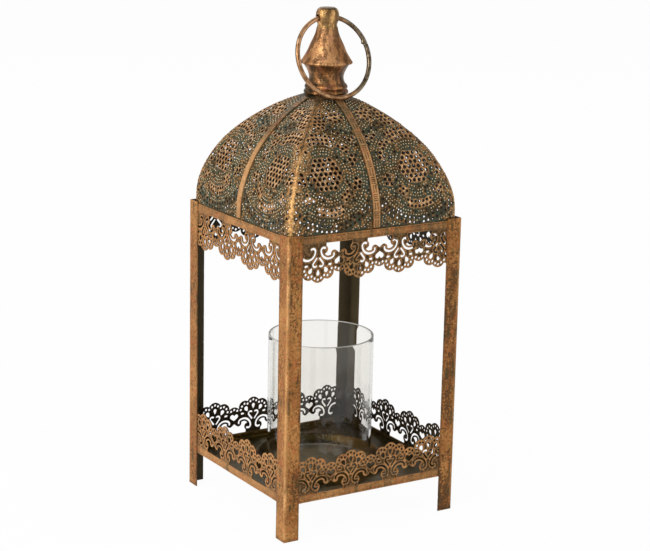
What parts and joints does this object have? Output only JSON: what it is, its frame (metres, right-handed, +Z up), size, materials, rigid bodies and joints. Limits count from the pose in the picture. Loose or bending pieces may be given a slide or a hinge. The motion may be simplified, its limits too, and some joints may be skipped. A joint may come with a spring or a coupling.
{
  "type": "punched tin lantern",
  "caption": "Square tin lantern: corner posts, pierced lace strips, punched pavilion dome with straps, turned finial with a loose ring, tray with a glass chimney.",
  "frame": {"origin": "on the ground, in the middle of the four feet", "axes": "+Z up through the finial, -Y out of the front face, +X to the right seen from the front"},
  "size_m": [0.15, 0.15, 0.3823],
  "materials": {
    "post_copper": "antique copper with dark flecks, satin",
    "strip_copper": "antique copper, satin",
    "gore_patina": "dark grey-green patina rubbed back to copper",
    "strap_copper": "antique copper, satin",
    "tray_brown": "dark brown, semi-gloss",
    "chimney_glass": "clear glass",
    "finial_bronze": "antique bronze, satin",
    "fixing_steel": "dull",
    "ring_bronze": "antique bronze, satin"
  },
  "bodies": {
    "lantern": {"crown_nut": "fixing_steel", "crown_washer": "fixing_steel", "finial_bell": "finial_bronze", "finial_foot": "finial_bronze", "finial_knob": "finial_bronze", "finial_rod": "fixing_steel", "frieze_back": "strip_copper", "frieze_front": "strip_copper", "frieze_left": "strip_copper", "frieze_right": "strip_copper", "gallery_back": "strip_copper", "gallery_front": "strip_copper", "gallery_left": "strip_copper", "gallery_right": "strip_copper", "gore_back_left": "gore_patina", "gore_back_right": "gore_patina", "gore_front_left": "gore_patina", "gore_front_right": "gore_patina", "gore_left_back": "gore_patina", "gore_left_front": "gore_patina", "gore_right_back": "gore_patina", "gore_right_front": "gore_patina", "post_back_left": "post_copper", "post_back_right": "post_copper", "post_front_left": "post_copper", "post_front_right": "post_copper", "strap_back": "strap_copper", "strap_front": "strap_copper", "strap_left": "strap_copper", "strap_right": "strap_copper", "tray": "tray_brown"},
    "ring": {"ring_handle": "ring_bronze"},
    "chimney": {"glass_chimney": "chimney_glass"}
  },
  "joints": [
    {"name": "ring_swing", "type": "hinge", "parent": "lantern", "child": "ring", "pos_m": [0, 0, 0.3746], "axis": [-1, 0, 0], "range_deg": [0, 321]},
    {"name": "chimney_lift", "type": "slide", "parent": "lantern", "child": "chimney", "axis": [0, 0, 1], "range_m": [0, 0.045]}
  ]
}
